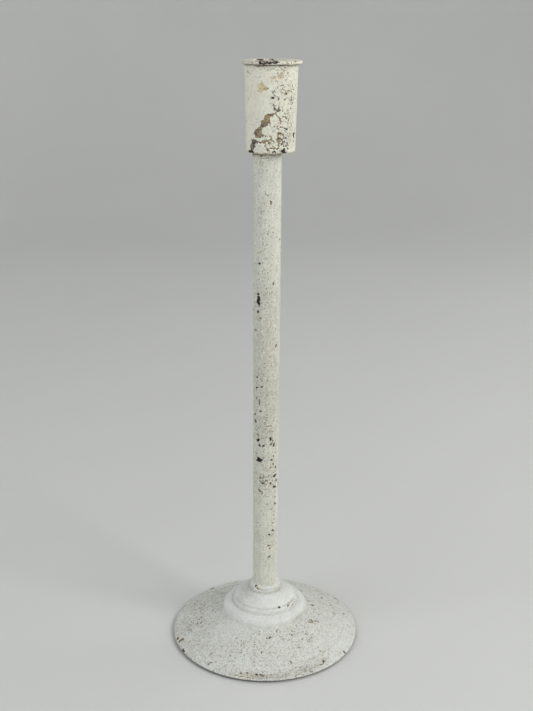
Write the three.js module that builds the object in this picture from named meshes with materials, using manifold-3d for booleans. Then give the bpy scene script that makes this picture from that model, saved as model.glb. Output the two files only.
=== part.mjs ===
// A tall wooden candlestick: a turned foot, a dowel stem and a turned candle cup with a metal liner.
// Millimetres, +Z up. The origin is on the table, under the middle of the foot.
// The cup is held by one screw, and it sits a little off the stem's axis.

import * as THREE from 'three';
import { mergeVertices } from 'three/addons/utils/BufferGeometryUtils.js';
import Module from 'manifold-3d';

const wasm = await Module();
wasm.setup();

// Driving dimensions.
const TOTAL_HEIGHT = 406;
const GAP = 0.3;
const FOOT_RADIUS = 67;
const STEM_RADIUS = 9;
const CUP_BOTTOM_Z = 349.6;
const CUP_OFFSET = 1.9;
const CUP_RADIUS_BOTTOM = 15.6;
const CUP_RADIUS_TOP = 16.9;

// The foot and the felt under it.
const FELT_THICKNESS = 1.5;
const FELT_RADIUS = 60;
const FELT_PROUD = 0.8;
const RECESS_Z = FELT_THICKNESS + GAP;
const MORTISE_Z = 14.4;
const FOOT_TOP_Z = 40.6;

// The liner and the candle socket inside it.
const SOCKET_RADIUS = 11.2;
const SOCKET_DEPTH = 36;
const LINER_WALL = 0.8;
const FLANGE_RADIUS = 19.4;
const FLANGE_THICKNESS = 2.4;
const FLANGE_Z = TOTAL_HEIGHT - FLANGE_THICKNESS;
const SOCKET_FLOOR_Z = TOTAL_HEIGHT - SOCKET_DEPTH;
const CUP_FLOOR_Z = SOCKET_FLOOR_Z - LINER_WALL - GAP;
const CUP_BORE_RADIUS = SOCKET_RADIUS + LINER_WALL + GAP;

// The two screws and the washer.
const SCREW_RADIUS = 2.1;
const SCREW_HEAD_RADIUS = 4.1;
const SCREW_TIP_LENGTH = 5;
const HOLE_RADIUS = SCREW_RADIUS + GAP;
const CUP_SCREW_LENGTH = 40;
const CUP_SCREW_HEAD_HEIGHT = 2.4;
const CUP_SCREW_HEAD_EDGE = 0.4;
const CUP_SCREW_TOP_Z = CUP_FLOOR_Z - GAP;
const FOOT_SCREW_LENGTH = 32;
const FOOT_SCREW_HEAD_HEIGHT = 2.4;
const WASHER_RADIUS = 7;
const WASHER_THICKNESS = 1.2;
const COUNTERBORE_RADIUS = WASHER_RADIUS + 1;
const FOOT_HEAD_Z = RECESS_Z + GAP;
const WASHER_Z = FOOT_HEAD_Z + FOOT_SCREW_HEAD_HEIGHT + GAP;
const COUNTERBORE_Z = WASHER_Z + WASHER_THICKNESS + GAP;
const DRIVE_WIDTH = 1.1;
const DRIVE_SPAN = 4.4;
const DRIVE_DEPTH = 1.6;

// The stem runs from the mortise floor to the underside of the cup.
const STEM_BOTTOM_Z = MORTISE_Z + GAP;
const STEM_TOP_Z = CUP_BOTTOM_Z - GAP;
const PILOT_CLEARANCE = 3;

// Sides of each turned piece, all multiples of four.
const FOOT_SIDES = 64;
const CUP_SIDES = 40;
const STEM_SIDES = 32;
const SCREW_SIDES = 16;
const CURVE_STEPS = 4;

const paint = new THREE.MeshStandardMaterial({ color: '#d3d5c8', roughness: 0.62, metalness: 0 });
const rimPaint = new THREE.MeshStandardMaterial({ color: '#d0cfbf', roughness: 0.55, metalness: 0.1 });
const steel = new THREE.MeshStandardMaterial({ color: '#a8a9a6', roughness: 0.35, metalness: 1 });
const felt = new THREE.MeshStandardMaterial({ color: '#3b4a3a', roughness: 1, metalness: 0 });

// Turns a profile of (radius, height) points about the Z axis.
function turned(points, sides) {
  const geometry = new THREE.LatheGeometry(points, sides);
  geometry.rotateX(Math.PI / 2);
  geometry.deleteAttribute('normal');
  geometry.deleteAttribute('uv');
  return mergeVertices(geometry, 1e-4);
}

// A profile that closes on itself, drawn by a function on a path.
function outline(draw) {
  const path = new THREE.Path();
  draw(path);
  path.closePath();
  return path.getPoints(CURVE_STEPS);
}

function points(...pairs) {
  return pairs.map(([radius, height]) => new THREE.Vector2(radius, height));
}

function piece(name, geometry, material) {
  geometry.computeVertexNormals();
  const mesh = new THREE.Mesh(geometry, material);
  mesh.name = name;
  return mesh;
}

function solid(geometry) {
  const bare = new THREE.BufferGeometry();
  bare.setAttribute('position', geometry.getAttribute('position').clone());
  bare.setIndex(geometry.getIndex());
  const merged = mergeVertices(bare, 1e-4);
  const vertProperties = new Float32Array(merged.getAttribute('position').array);
  const triVerts = new Uint32Array(merged.getIndex().array);
  return new wasm.Manifold(new wasm.Mesh({ numProp: 3, vertProperties, triVerts }));
}

function cut(geometry, ...tools) {
  const result = tools.reduce((body, tool) => body.subtract(solid(tool)), solid(geometry));
  const mesh = result.getMesh();
  const out = new THREE.BufferGeometry();
  out.setAttribute('position', new THREE.BufferAttribute(mesh.vertProperties, 3));
  out.setIndex(new THREE.BufferAttribute(mesh.triVerts, 1));
  return out;
}

// The upper side of the foot, from its widest edge up to the mortise for the stem.
function drawFootTop(path) {
  drawSaucer(path);
  drawLowerBead(path);
  drawUpperBead(path);
  drawNeck(path);
  drawLip(path);
}

function drawSaucer(path) {
  path.quadraticCurveTo(66.8, 3.0, 63.2, 4.3);
  path.quadraticCurveTo(60.4, 5.5, 58.3, 6.7);
  path.lineTo(57.1, 6.9);
  path.lineTo(56.0, 7.6);
  path.quadraticCurveTo(43.5, 12.2, 32.0, 18.5);
}

// A full round bead with a small ring on its inner edge.
function drawLowerBead(path) {
  path.quadraticCurveTo(30.7, 19.2, 30.3, 20.8);
  path.quadraticCurveTo(29.6, 24.4, 26.2, 25.1);
  path.lineTo(23.8, 25.6);
  path.quadraticCurveTo(23.1, 25.8, 22.9, 27.1);
  path.lineTo(22.2, 28.6);
}

function drawUpperBead(path) {
  path.lineTo(21.7, 29.5);
  path.quadraticCurveTo(21.4, 30.6, 19.0, 32.1);
  path.quadraticCurveTo(16.8, 34.1, 13.3, 35.3);
}

function drawNeck(path) {
  path.lineTo(12.5, 36.2);
  path.quadraticCurveTo(12.5, 37.4, 12.1, 37.7);
  path.lineTo(11.2, 38.6);
}

// The last small step, which meets the stem.
function drawLip(path) {
  path.quadraticCurveTo(11.1, 39.8, 10.3, 40.2);
  path.lineTo(STEM_RADIUS + GAP, FOOT_TOP_Z);
}

// Turned wood: a mortise above, a screw hole through the middle, a counterbore and a felt recess below.
function foot() {
  const profile = outline((path) => {
    path.moveTo(FOOT_RADIUS, 1.9);
    drawFootTop(path);
    path.lineTo(STEM_RADIUS + GAP, MORTISE_Z);
    path.lineTo(HOLE_RADIUS, MORTISE_Z);
    path.lineTo(HOLE_RADIUS, COUNTERBORE_Z);
    path.lineTo(COUNTERBORE_RADIUS, COUNTERBORE_Z);
    path.lineTo(COUNTERBORE_RADIUS, RECESS_Z);
    path.lineTo(FELT_RADIUS + GAP, RECESS_Z);
    path.lineTo(FELT_RADIUS + GAP, FELT_PROUD);
    path.lineTo(65.9, FELT_PROUD);
    path.quadraticCurveTo(66.8, 1.0, FOOT_RADIUS, 1.9);
  });
  return piece('foot', turned(profile, FOOT_SIDES), paint);
}

// A plain dowel with a pilot hole in each end.
function stem() {
  const lowPilotTop = FOOT_HEAD_Z + FOOT_SCREW_HEAD_HEIGHT + FOOT_SCREW_LENGTH + PILOT_CLEARANCE;
  const highPilotBottom = CUP_FLOOR_Z - CUP_SCREW_LENGTH - PILOT_CLEARANCE;
  const profile = points(
    [0, lowPilotTop],
    [HOLE_RADIUS, lowPilotTop - HOLE_RADIUS],
    [HOLE_RADIUS, STEM_BOTTOM_Z],
    [STEM_RADIUS - 0.8, STEM_BOTTOM_Z],
    [STEM_RADIUS, STEM_BOTTOM_Z + 0.8],
    [STEM_RADIUS, STEM_TOP_Z],
    [HOLE_RADIUS, STEM_TOP_Z],
    [HOLE_RADIUS, highPilotBottom + HOLE_RADIUS],
    [0, highPilotBottom],
  );
  return piece('stem', turned(profile, STEM_SIDES), paint);
}

// The wooden socket, with a countersunk hole that lines up with the stem.
function candleCup() {
  const profile = outline((path) => {
    path.moveTo(0, CUP_BOTTOM_Z);
    path.lineTo(CUP_RADIUS_BOTTOM - 1, CUP_BOTTOM_Z);
    path.quadraticCurveTo(CUP_RADIUS_BOTTOM, CUP_BOTTOM_Z, CUP_RADIUS_BOTTOM, CUP_BOTTOM_Z + 1);
    path.lineTo(CUP_RADIUS_TOP, FLANGE_Z - GAP);
    path.lineTo(CUP_BORE_RADIUS, FLANGE_Z - GAP);
    path.lineTo(CUP_BORE_RADIUS, CUP_FLOOR_Z);
    path.lineTo(0, CUP_FLOOR_Z);
  });
  const body = turned(profile, CUP_SIDES);
  const headRadius = SCREW_HEAD_RADIUS + GAP;
  const coneDrop = GAP / 2;
  const hole = turned(points(
    [0, CUP_BOTTOM_Z - 1],
    [HOLE_RADIUS, CUP_BOTTOM_Z - 1],
    [HOLE_RADIUS, CUP_SCREW_TOP_Z - CUP_SCREW_HEAD_HEIGHT - coneDrop],
    [headRadius, CUP_SCREW_TOP_Z - CUP_SCREW_HEAD_EDGE - coneDrop],
    [headRadius, CUP_FLOOR_Z + 1],
    [0, CUP_FLOOR_Z + 1],
  ), SCREW_SIDES);
  hole.translate(-CUP_OFFSET, 0, 0);
  const mesh = piece('candle_cup', cut(body, hole), paint);
  mesh.position.x = CUP_OFFSET;
  return mesh;
}

// A thin metal sleeve with a closed floor and a flange that covers the cup's rim.
function cupLiner() {
  const outerRadius = SOCKET_RADIUS + LINER_WALL;
  const profile = outline((path) => {
    path.moveTo(0, SOCKET_FLOOR_Z - LINER_WALL);
    path.lineTo(outerRadius, SOCKET_FLOOR_Z - LINER_WALL);
    path.lineTo(outerRadius, FLANGE_Z);
    path.lineTo(FLANGE_RADIUS - 0.5, FLANGE_Z);
    path.quadraticCurveTo(FLANGE_RADIUS, FLANGE_Z, FLANGE_RADIUS, FLANGE_Z + 0.7);
    path.quadraticCurveTo(FLANGE_RADIUS, TOTAL_HEIGHT, FLANGE_RADIUS - 2.2, TOTAL_HEIGHT);
    path.lineTo(SOCKET_RADIUS + 0.6, TOTAL_HEIGHT);
    path.quadraticCurveTo(SOCKET_RADIUS, TOTAL_HEIGHT, SOCKET_RADIUS, TOTAL_HEIGHT - 0.8);
    path.lineTo(SOCKET_RADIUS, SOCKET_FLOOR_Z);
    path.lineTo(0, SOCKET_FLOOR_Z);
  });
  const mesh = piece('cup_liner', turned(profile, CUP_SIDES), rimPaint);
  mesh.position.x = CUP_OFFSET;
  return mesh;
}

// Two crossed bars, to cut a cross recess that is open at height z.
function crossRecess(z, depth) {
  const half = DRIVE_SPAN / 2;
  const arm = DRIVE_WIDTH / 2;
  const shape = new THREE.Shape(points(
    [half, arm], [arm, arm], [arm, half], [-arm, half], [-arm, arm], [-half, arm],
    [-half, -arm], [-arm, -arm], [-arm, -half], [arm, -half], [arm, -arm], [half, -arm],
  ));
  const cross = new THREE.ExtrudeGeometry(shape, { depth, bevelEnabled: false });
  cross.translate(0, 0, z);
  return cross;
}

// Holds the cup to the top of the stem: its head is sunk in the cup's floor.
function cupScrew() {
  const top = CUP_SCREW_TOP_Z;
  const tip = top - CUP_SCREW_LENGTH;
  const body = turned(points(
    [0, tip],
    [SCREW_RADIUS, tip + SCREW_TIP_LENGTH],
    [SCREW_RADIUS, top - CUP_SCREW_HEAD_HEIGHT],
    [SCREW_HEAD_RADIUS, top - CUP_SCREW_HEAD_EDGE],
    [SCREW_HEAD_RADIUS, top],
    [0, top],
  ), SCREW_SIDES);
  const recess = crossRecess(top - DRIVE_DEPTH, DRIVE_DEPTH + 1);
  return piece('cup_screw', cut(body, recess), steel);
}

// Pulls the stem into the foot from below, through the washer.
function footScrew() {
  const shoulder = FOOT_HEAD_Z + FOOT_SCREW_HEAD_HEIGHT;
  const tip = shoulder + FOOT_SCREW_LENGTH;
  const body = turned(points(
    [0, FOOT_HEAD_Z],
    [SCREW_HEAD_RADIUS - 0.8, FOOT_HEAD_Z],
    [SCREW_HEAD_RADIUS, FOOT_HEAD_Z + 0.8],
    [SCREW_HEAD_RADIUS, shoulder],
    [SCREW_RADIUS, shoulder],
    [SCREW_RADIUS, tip - SCREW_TIP_LENGTH],
    [0, tip],
  ), SCREW_SIDES);
  const recess = crossRecess(FOOT_HEAD_Z - 1, DRIVE_DEPTH + 1);
  return piece('foot_screw', cut(body, recess), steel);
}

function footWasher() {
  const profile = outline((path) => {
    path.moveTo(HOLE_RADIUS, WASHER_Z);
    path.lineTo(WASHER_RADIUS, WASHER_Z);
    path.lineTo(WASHER_RADIUS, WASHER_Z + WASHER_THICKNESS);
    path.lineTo(HOLE_RADIUS, WASHER_Z + WASHER_THICKNESS);
  });
  return piece('foot_washer', turned(profile, SCREW_SIDES * 2), steel);
}

// The disc glued into the recess. It stands proud of the wood, so the foot rests on it.
function feltPad() {
  const profile = points(
    [0, 0],
    [FELT_RADIUS, 0],
    [FELT_RADIUS, FELT_THICKNESS],
    [0, FELT_THICKNESS],
  );
  return piece('felt_pad', turned(profile, CUP_SIDES), felt);
}

const candlestick = new THREE.Group();
candlestick.add(foot(), stem(), candleCup(), cupLiner());
candlestick.add(cupScrew(), footScrew(), footWasher(), feltPad());

export default candlestick;
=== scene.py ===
import math
from types import SimpleNamespace

import bmesh
import bpy
import numpy as np
from mathutils import Matrix, Vector, noise


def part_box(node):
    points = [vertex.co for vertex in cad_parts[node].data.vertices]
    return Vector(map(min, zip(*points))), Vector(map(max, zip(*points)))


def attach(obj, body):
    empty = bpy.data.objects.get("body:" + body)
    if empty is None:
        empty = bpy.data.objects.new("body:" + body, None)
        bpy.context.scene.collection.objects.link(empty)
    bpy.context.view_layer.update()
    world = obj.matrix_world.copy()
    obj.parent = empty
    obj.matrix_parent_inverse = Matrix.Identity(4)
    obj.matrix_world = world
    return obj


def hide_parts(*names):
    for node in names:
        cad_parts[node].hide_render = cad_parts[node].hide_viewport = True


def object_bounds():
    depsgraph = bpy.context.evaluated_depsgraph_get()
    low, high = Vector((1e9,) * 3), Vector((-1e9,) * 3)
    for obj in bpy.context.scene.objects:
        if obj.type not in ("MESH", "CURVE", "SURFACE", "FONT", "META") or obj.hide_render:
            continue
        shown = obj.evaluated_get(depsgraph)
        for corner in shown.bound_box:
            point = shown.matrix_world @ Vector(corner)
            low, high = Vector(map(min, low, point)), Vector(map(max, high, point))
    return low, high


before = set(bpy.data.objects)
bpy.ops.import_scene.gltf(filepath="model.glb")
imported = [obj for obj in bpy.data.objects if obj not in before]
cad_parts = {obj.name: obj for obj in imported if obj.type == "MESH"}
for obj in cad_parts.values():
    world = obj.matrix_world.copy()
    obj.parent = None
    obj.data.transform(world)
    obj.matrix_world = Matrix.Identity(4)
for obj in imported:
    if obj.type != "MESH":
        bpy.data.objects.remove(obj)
cad_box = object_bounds()

# A tall turned candlestick in thick, crackled off-white paint that has chipped to tan, brown, grey and
# black coats. Lengths here are millimetres, and the meshes are metres. A place on a turned piece is its
# azimuth in degrees, 0 at the front (-Y) and growing towards the right (+X), and a height or a radius.
# The marks in front were read from an unrolled view of the photo. Those behind are made up.

MM = 0.001
FOOT_SIDES, STEM_SIDES, CUP_SIDES, RIM_SIDES, FELT_SIDES = 560, 128, 300, 300, 240
SCREW_HOLE = 2.4  # the radius of the clearance holes
PAINT_GAP = 0.05  # how far the painted skin may lie outside or inside the CAD surface
PAINT_RELIEF = 0.22  # how deep the shader's fine relief is
RAGGED = 2.1  # how far the noise moves the edges of the chips
FAR = 3.0  # the largest distance to a chip that is kept
NOWHERE = -100.0  # the place of the surfaces that carry no marks


def sides_of(node):
    """The lowest and highest corner of a CAD node, in millimetres."""
    low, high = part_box(node)
    return np.array(low) / MM, np.array(high) / MM


FOOT_LOW, FOOT_HIGH = sides_of("foot")
STEM_LOW, STEM_HIGH = sides_of("stem")
CUP_LOW, CUP_HIGH = sides_of("candle_cup")
LINER_LOW, LINER_HIGH = sides_of("cup_liner")
FELT_LOW, FELT_HIGH = sides_of("felt_pad")
FOOT_RADIUS = FOOT_HIGH[0]
STEM_RADIUS = STEM_HIGH[0]
CUP_X = (CUP_LOW[0] + CUP_HIGH[0]) / 2
CUP_TOP_RADIUS = (CUP_HIGH[0] - CUP_LOW[0]) / 2
RIM_RADIUS = (LINER_HIGH[0] - LINER_LOW[0]) / 2


# ---------------------------------------------------------------- turned surfaces

def trace(start, moves):
    """Points along a turned outline. A move is (end, step), or (bend, end, step) for a curve."""
    here = np.array(start, float)
    points = []
    for *bend, end, step in moves:
        end = np.array(end, float)
        middle = np.array(bend[0], float) if bend else (here + end) / 2
        length = np.linalg.norm(middle - here) + np.linalg.norm(end - middle)
        count = max(1, round(length / step))
        t = (np.arange(count) / count)[:, None]
        points.append((1 - t) ** 2 * here + 2 * t * (1 - t) * middle + t**2 * end)
        here = end
    points.append(here[None])
    return np.concatenate(points)


def turned(outline, sides):
    """A turned surface: each ring and side has a radius, height, azimuth, distance along and normal."""
    ring = np.allclose(outline[0], outline[-1])
    if ring:
        outline = outline[:-1]
    ahead = np.roll(outline, -1, axis=0) if ring else np.vstack([outline[1:], outline[-1:]])
    behind = np.roll(outline, 1, axis=0) if ring else np.vstack([outline[:1], outline[:-1]])
    tangent = ahead - behind
    tangent /= np.linalg.norm(tangent, axis=1)[:, None]
    area = np.sum(outline[:, 0] * np.roll(outline[:, 1], -1) - np.roll(outline[:, 0], -1) * outline[:, 1])
    outward = np.sign(area)
    steps = np.linalg.norm(np.diff(outline, axis=0), axis=1)
    along = np.concatenate([[0], np.cumsum(steps)])
    azimuth = np.linspace(-180, 180, sides, endpoint=False)
    shape = (len(outline), sides)

    def spread(column):
        return np.broadcast_to(column[:, None], shape).copy()

    return SimpleNamespace(
        ring=ring,
        outward=outward,
        radius=spread(outline[:, 0]),
        height=spread(outline[:, 1]),
        along=spread(along),
        normal_r=spread(tangent[:, 1] * outward),
        normal_z=spread(-tangent[:, 0] * outward),
        azimuth=np.broadcast_to(azimuth, shape).copy(),
        sway=0.0,
        rise=0.0,
    )


def points_of(surface):
    """The surface's points round its own axis, in millimetres."""
    turn = np.radians(surface.azimuth)
    x = surface.radius * np.sin(turn)
    y = -surface.radius * np.cos(turn)
    return np.stack([x, y, surface.height], axis=-1)


def push(surface, distance):
    """Moves the surface outwards, except on its axis."""
    free = surface.radius > 1e-6
    surface.radius += np.where(free, surface.normal_r * distance, 0)
    surface.height += np.where(free, surface.normal_z * distance, 0)


def faces_of(surface):
    """Quads between the rings, with one triangle per side where a ring is a point on the axis."""
    rings, sides = surface.radius.shape
    here = np.arange(sides)
    beyond = (here + 1) % sides
    faces = []
    for low in range(rings if surface.ring else rings - 1):
        high = (low + 1) % rings
        a, b = low * sides + here, low * sides + beyond
        c, d = high * sides + beyond, high * sides + here
        if surface.radius[low, 0] < 1e-6:
            a = b = np.full(sides, low * sides)
        if surface.radius[high, 0] < 1e-6:
            c = d = np.full(sides, high * sides)
        quads = np.stack([a, b, c, d], axis=1)
        faces.extend(list(dict.fromkeys(quad)) for quad in quads.tolist())
    if surface.outward < 0:
        faces = [face[::-1] for face in faces]
    return faces


def piece(name, surface, material, centre_x=0.0, layers=None, sharp_degrees=50):
    """A mesh object from a turned surface, with a float attribute on its points for each layer."""
    points = points_of(surface).reshape(-1, 3)
    points[:, 0] += centre_x
    mesh = bpy.data.meshes.new(name)
    mesh.from_pydata((points * MM).tolist(), [], faces_of(surface))
    for layer, values in (layers or {}).items():
        attribute = mesh.attributes.new(layer, "FLOAT", "POINT")
        attribute.data.foreach_set("value", np.ascontiguousarray(values, np.float32).ravel())
    mesh.polygons.foreach_set("use_smooth", [True] * len(mesh.polygons))
    mesh.set_sharp_from_angle(angle=math.radians(sharp_degrees))
    mesh.materials.append(material)
    thing = bpy.data.objects.new(name, mesh)
    bpy.context.scene.collection.objects.link(thing)
    delete_loose_points(thing)
    return thing


def delete_loose_points(thing):
    """The rings on the axis keep only one of their points."""
    used = np.zeros(len(thing.data.vertices), bool)
    corners = np.zeros(len(thing.data.loops), np.int32)
    thing.data.loops.foreach_get("vertex_index", corners)
    used[corners] = True
    if used.all():
        return
    work = bmesh.new()
    work.from_mesh(thing.data)
    work.verts.ensure_lookup_table()
    bmesh.ops.delete(work, geom=[v for v in work.verts if not used[v.index]], context="VERTS")
    work.to_mesh(thing.data)
    work.free()


# ---------------------------------------------------------------- chips, specks and relief

COATS = ("tan", "brown", "grey", "black")


def lumps(surface, size, seed, tall=1.0):
    """Smooth noise from -1 to 1 on the surface: its features are size wide, and tall times as high."""
    points = points_of(surface).reshape(-1, 3) / (size, size, size * tall) + seed * 19.7
    values = [noise.noise(Vector(p)) for p in points.tolist()]
    return np.array(values).reshape(surface.radius.shape)


def wander(surface, seed):
    """Sets how far marks stray sideways and up, so that they are never plain ovals and lines."""
    surface.sway = 1.0 * lumps(surface, 2.6, seed) + 0.7 * lumps(surface, 1.2, seed + 1)
    surface.rise = 1.0 * lumps(surface, 2.6, seed + 2) + 0.7 * lumps(surface, 1.2, seed + 3)


def offsets(surface, place, azimuth, height):
    """Distances across and up the surface from a point, in millimetres."""
    turn = (surface.azimuth - azimuth + 180) % 360 - 180
    return np.radians(turn) * surface.radius + surface.sway, place - height + surface.rise


def to_spot(surface, place, azimuth, height, half_width, half_height, turn=0):
    """The distance to the edge of an oval spot, negative inside."""
    across, up = offsets(surface, place, azimuth, height)
    angle = math.radians(turn)
    along = across * math.cos(angle) + up * math.sin(angle)
    aside = up * math.cos(angle) - across * math.sin(angle)
    reach = np.sqrt((along / half_width) ** 2 + (aside / half_height) ** 2)
    return (reach - 1) * min(half_width, half_height)


def to_stroke(surface, place, half_width, *stops):
    """The distance to the edge of a stroke through the stops (azimuth, height), negative inside."""
    nearest = np.full(surface.radius.shape, FAR)
    for start, end in zip(stops, stops[1:]):
        across, up = offsets(surface, place, *start)
        to_x = math.radians(end[0] - start[0]) * surface.radius
        to_y = end[1] - start[1]
        share = np.clip((across * to_x + up * to_y) / (to_x**2 + to_y**2 + 1e-9), 0, 1)
        gap = np.hypot(across - share * to_x, up - share * to_y)
        nearest = np.minimum(nearest, gap - half_width)
    return nearest


def chip_layers(surface, place, spots, strokes):
    """For each coat, the distance to the nearest chip that lays it bare, negative inside."""
    layers = {}
    for coat in COATS:
        nearest = np.full(surface.radius.shape, FAR)
        for spot in spots.get(coat, ()):
            nearest = np.minimum(nearest, to_spot(surface, place, *spot))
        for stroke in strokes.get(coat, ()):
            nearest = np.minimum(nearest, to_stroke(surface, place, *stroke))
        layers["to_" + coat] = np.maximum(nearest, -FAR)
    return layers


def clouds(surface, place, base, patches):
    """A density with a base, and patches given as (azimuth, height, across, up, amount)."""
    density = np.full(surface.radius.shape, float(base))
    for azimuth, height, wide, tall, amount in patches:
        across, up = offsets(surface, place, azimuth, height)
        density += amount * np.exp(-((across / wide) ** 2) - (up / tall) ** 2)
    return np.clip(density, 0, 1)


def scattered(seed, count, azimuths, heights, smallest, largest):
    """Small random spots over a side that has no special marks."""
    dice = np.random.default_rng(seed)
    spots = []
    for _ in range(count):
        size = smallest + (largest - smallest) * dice.random() ** 3
        azimuth, height = dice.uniform(*azimuths), dice.uniform(*heights)
        spots.append((azimuth, height, size, size * dice.uniform(0.5, 1.3), dice.uniform(-60, 60)))
    return spots


def together(*tables):
    """One table of spots by coat, from several."""
    return {coat: [spot for table in tables for spot in table.get(coat, ())] for coat in COATS}


def smooth(edge_low, edge_high, value):
    t = np.clip((value - edge_low) / (edge_high - edge_low), 0, 1)
    return t * t * (3 - 2 * t)


def round_line(value, middle, width):
    """A soft line: 1 in the middle, and near 0 beyond the width on either side."""
    return np.exp(-(((value - middle) / width) ** 2))


def press_chips(surface, layers, depth=0.24, lip=0.07):
    """Presses the chips into the paint, and raises the paint's broken edge round them."""
    to_chip = np.minimum.reduce([layers["to_" + coat] for coat in COATS])
    hollow = smooth(0.25, -0.35, to_chip)
    push(surface, lip * round_line(to_chip, 0.45, 0.3) - depth * hollow)


def uneven(surface, seed, wave=0.05, grain=0.035, tall=1.0):
    """Gives the paint its uneven skin, just inside the bare surface."""
    slow = lumps(surface, 6.5, seed, tall)
    fine = lumps(surface, 1.9, seed + 1, tall)
    push(surface, wave * slow + grain * fine - PAINT_GAP)


# ---------------------------------------------------------------- materials

def colour(red, green, blue):
    """A colour given as it looks on a screen, 0 to 255, as linear light."""
    linear = [((c / 255 + 0.055) / 1.055) ** 2.4 if c > 10 else c / 255 / 12.92 for c in (red, green, blue)]
    return (*linear, 1)


class Nodes:
    """Short names for the nodes of one material. Sizes and places in it are millimetres."""

    def __init__(self, name):
        self.material = bpy.data.materials.new(name)
        self.material.use_nodes = True
        self.tree = self.material.node_tree
        self.tree.nodes.clear()
        self.shader = self.tree.nodes.new("ShaderNodeBsdfPrincipled")
        output = self.tree.nodes.new("ShaderNodeOutputMaterial")
        self.tree.links.new(self.shader.outputs[0], output.inputs["Surface"])
        coordinates = self.tree.nodes.new("ShaderNodeTexCoord")
        self.place = self.vector("SCALE", coordinates.outputs["Object"], scale=1 / MM)

    def set(self, socket, value):
        if isinstance(value, bpy.types.NodeSocket):
            self.tree.links.new(value, socket)
        else:
            socket.default_value = value

    def vector(self, operation, first, second=None, scale=None):
        node = self.tree.nodes.new("ShaderNodeVectorMath")
        node.operation = operation
        self.set(node.inputs[0], first)
        if second is not None:
            self.set(node.inputs[1], second)
        if scale is not None:
            self.set(node.inputs["Scale"], scale)
        return node.outputs["Vector"]

    def math(self, operation, *values):
        node = self.tree.nodes.new("ShaderNodeMath")
        node.operation = operation
        for socket, value in zip(node.inputs, values):
            self.set(socket, value)
        return node.outputs[0]

    def add(self, *values):
        total = values[0]
        for value in values[1:]:
            total = self.math("ADD", total, value)
        return total

    def times(self, *values):
        product = values[0]
        for value in values[1:]:
            product = self.math("MULTIPLY", product, value)
        return product

    def less(self, first, second):
        return self.math("SUBTRACT", first, second)

    def attribute(self, name):
        node = self.tree.nodes.new("ShaderNodeAttribute")
        node.attribute_name = name
        return node.outputs["Fac"]

    def noise(self, size, detail=2.0, seed=0.0, tall=1.0, rough=0.5, twist=0.0):
        """Noise from 0 to 1: its features are size wide, and tall times as high."""
        place = self.vector("MULTIPLY", self.place, (1, 1, 1 / tall))
        place = self.vector("ADD", place, (seed * 11.3,) * 3)
        node = self.tree.nodes.new("ShaderNodeTexNoise")
        self.set(node.inputs["Vector"], place)
        self.set(node.inputs["Scale"], 1 / size)
        self.set(node.inputs["Detail"], detail)
        self.set(node.inputs["Roughness"], rough)
        self.set(node.inputs["Distortion"], twist)
        return node.outputs["Fac"]

    def between(self, value, low, high, to_low=0.0, to_high=1.0, soft=True):
        node = self.tree.nodes.new("ShaderNodeMapRange")
        node.interpolation_type = "SMOOTHSTEP" if soft else "LINEAR"
        self.set(node.inputs["Value"], value)
        self.set(node.inputs["From Min"], low)
        self.set(node.inputs["From Max"], high)
        self.set(node.inputs["To Min"], to_low)
        self.set(node.inputs["To Max"], to_high)
        return node.outputs["Result"]

    def mix(self, share, first, second):
        node = self.tree.nodes.new("ShaderNodeMix")
        node.data_type = "RGBA"
        self.set(node.inputs["Factor"], share)
        ends = [socket for socket in node.inputs if socket.type == "RGBA"]
        self.set(ends[0], first)
        self.set(ends[1], second)
        return next(socket for socket in node.outputs if socket.type == "RGBA")

    def bump(self, height, distance, strength=1.0):
        node = self.tree.nodes.new("ShaderNodeBump")
        self.set(node.inputs["Height"], height)
        self.set(node.inputs["Distance"], distance * MM)
        self.set(node.inputs["Strength"], strength)
        return node.outputs["Normal"]

    def finish(self, base, roughness, normal=None, **fixed):
        self.set(self.shader.inputs["Base Color"], base)
        self.set(self.shader.inputs["Roughness"], roughness)
        if normal is not None:
            self.set(self.shader.inputs["Normal"], normal)
        for name, value in fixed.items():
            self.shader.inputs[name.replace("_", " ")].default_value = value
        return self.material


TAN = colour(222, 204, 168)
TAN_GREY = colour(184, 176, 152)
BROWN = colour(164, 146, 112)
BROWN_DEEP = colour(102, 90, 68)
GREY = colour(132, 121, 108)
GREY_DEEP = colour(72, 65, 57)
BLACK = colour(20, 19, 18)
# The dull colour below stands for dirt and dark cracks, and also for painted shade in grooves, on shaded
# sides and under the cup and rim.
BLACK_WORN = colour(54, 50, 45)
DIRT_AND_SHADE = colour(138, 134, 114)
HAZE = colour(182, 178, 162)
SPECK = colour(118, 110, 94)
SPECK_DARK = colour(58, 54, 46)
CURL = colour(132, 114, 84)
# The pale colour below is partly the lighter broken edge of the paint and partly a painted highlight.
PALE_EDGE_AND_HIGHLIGHT = colour(246, 245, 236)
WOOD = colour(188, 152, 106)
WOOD_DARK = colour(150, 112, 72)


def bare_wood(n):
    """Pale turned wood with its grain along the stem."""
    grain = n.noise(0.9, 3, 3, tall=14, twist=0.4)
    return n.mix(n.between(grain, 0.35, 0.68), WOOD_DARK, WOOD)


def top_coat(n, light, dark, tall):
    """The paint itself: brushed streaks, slow clouds, a fine haze of pinholes, and a dull colour for dirt and
    for painted shade where a point layer asks for it.
    """
    brushed = n.noise(1.3, 3, 1, tall=tall)
    cloud = n.noise(9.0, 3, 2)
    tone = n.add(n.times(brushed, 0.55), n.times(cloud, 0.45))
    coat = n.mix(n.between(tone, 0.36, 0.64), dark, light)
    pinholes = n.between(n.noise(0.6, 2, 4), 0.52, 0.68)
    coat = n.mix(n.times(pinholes, n.between(n.attribute("specks"), 0, 1, 0.15, 0.7)), coat, HAZE)
    patchy = n.between(n.noise(2.2, 3, 5), 0.3, 0.62, 0.35, 1.0)
    return n.mix(n.times(n.attribute("dirt_and_shade"), patchy), coat, DIRT_AND_SHADE)


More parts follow.
